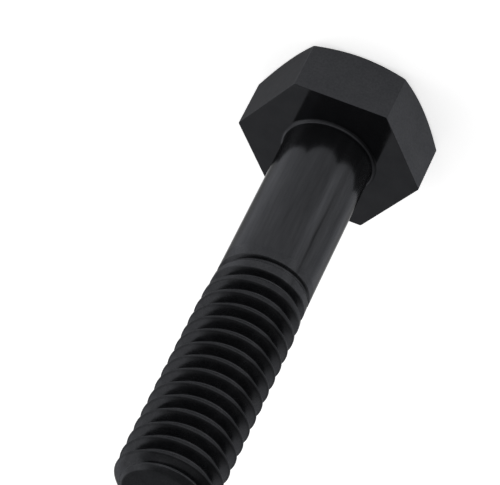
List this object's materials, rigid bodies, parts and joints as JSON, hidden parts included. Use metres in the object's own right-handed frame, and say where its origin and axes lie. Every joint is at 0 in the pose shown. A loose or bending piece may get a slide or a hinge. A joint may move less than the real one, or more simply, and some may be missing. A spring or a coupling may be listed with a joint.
{
  "type": "hexagon head bolt",
  "caption": "Part-threaded hexagon head bolt in black-finished steel, with a plain reduced shank, a rolled right-hand metric thread and a chamfered tip.",
  "frame": {"origin": "centre of the flat on top of the head, on which the bolt stands", "axes": "+Z along the bolt's axis from the head to the tip; the head's corners lie on +X and every 60 degrees"},
  "size_m": [0.0116, 0.01, 0.0309],
  "materials": {
    "black_steel": "gloss"
  },
  "bodies": {
    "root": {"hex_bolt": "black_steel"}
  },
  "joints": []
}
